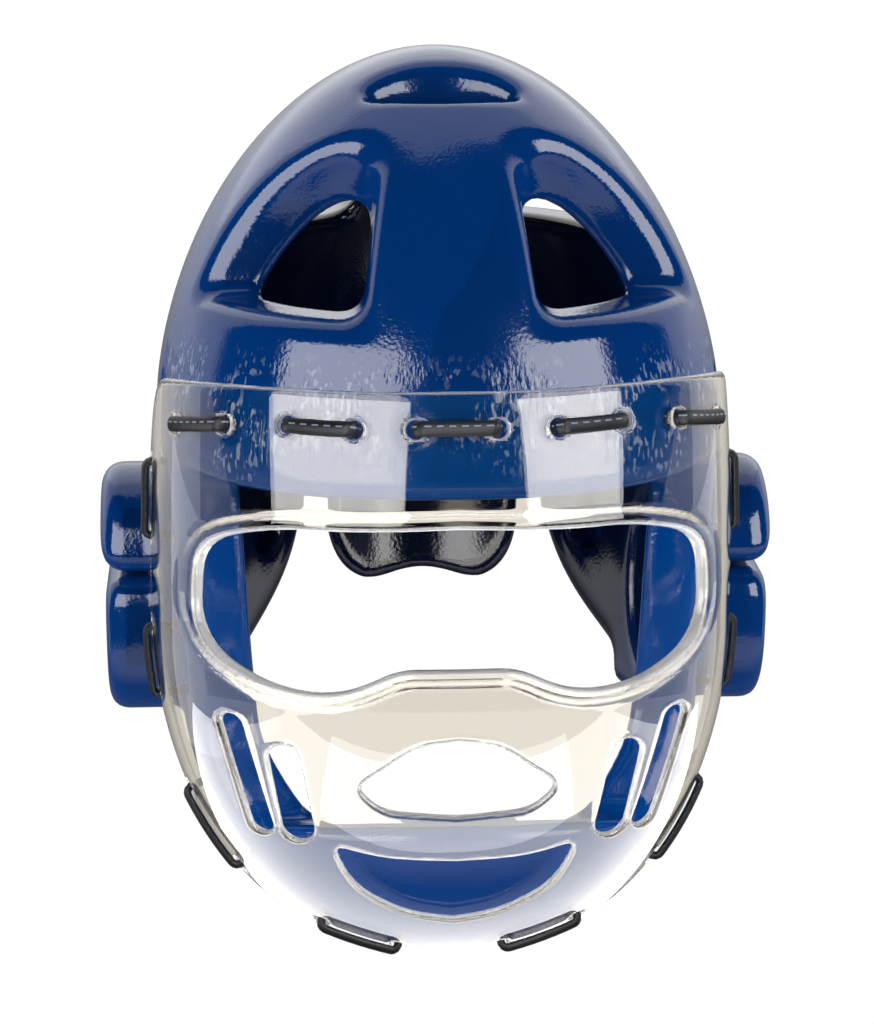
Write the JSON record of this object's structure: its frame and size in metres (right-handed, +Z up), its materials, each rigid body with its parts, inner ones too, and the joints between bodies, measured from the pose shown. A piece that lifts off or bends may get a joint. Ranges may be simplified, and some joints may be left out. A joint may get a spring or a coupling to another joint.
{
  "type": "head guard with face mask",
  "caption": "Foam head guard in a glossy dipped skin with crown vents, two-lobed ear pads and a laced clear face mask",
  "frame": {"origin": "middle of the bounding box on the surface that the guard rests on, chin and rear rim down", "axes": "+Z up, -Y to the face, +X to the right as seen from the front"},
  "size_m": [0.2396, 0.2816, 0.2504],
  "materials": {
    "foam_skin": "glossy dipped vinyl skin over foam",
    "clear_plastic": "clear moulded polycarbonate",
    "lace_cord": "flat black woven lace with a stitched line"
  },
  "bodies": {
    "root": {"foam_shell": "foam_skin", "ear_pad_left": "foam_skin", "ear_pad_right": "foam_skin", "face_mask": "clear_plastic", "lace_01": "lace_cord", "lace_02": "lace_cord", "lace_03": "lace_cord", "lace_04": "lace_cord", "lace_05": "lace_cord", "lace_06": "lace_cord", "lace_07": "lace_cord", "lace_08": "lace_cord", "lace_09": "lace_cord", "lace_10": "lace_cord", "lace_11": "lace_cord", "lace_12": "lace_cord", "lace_13": "lace_cord"}
  },
  "joints": []
}
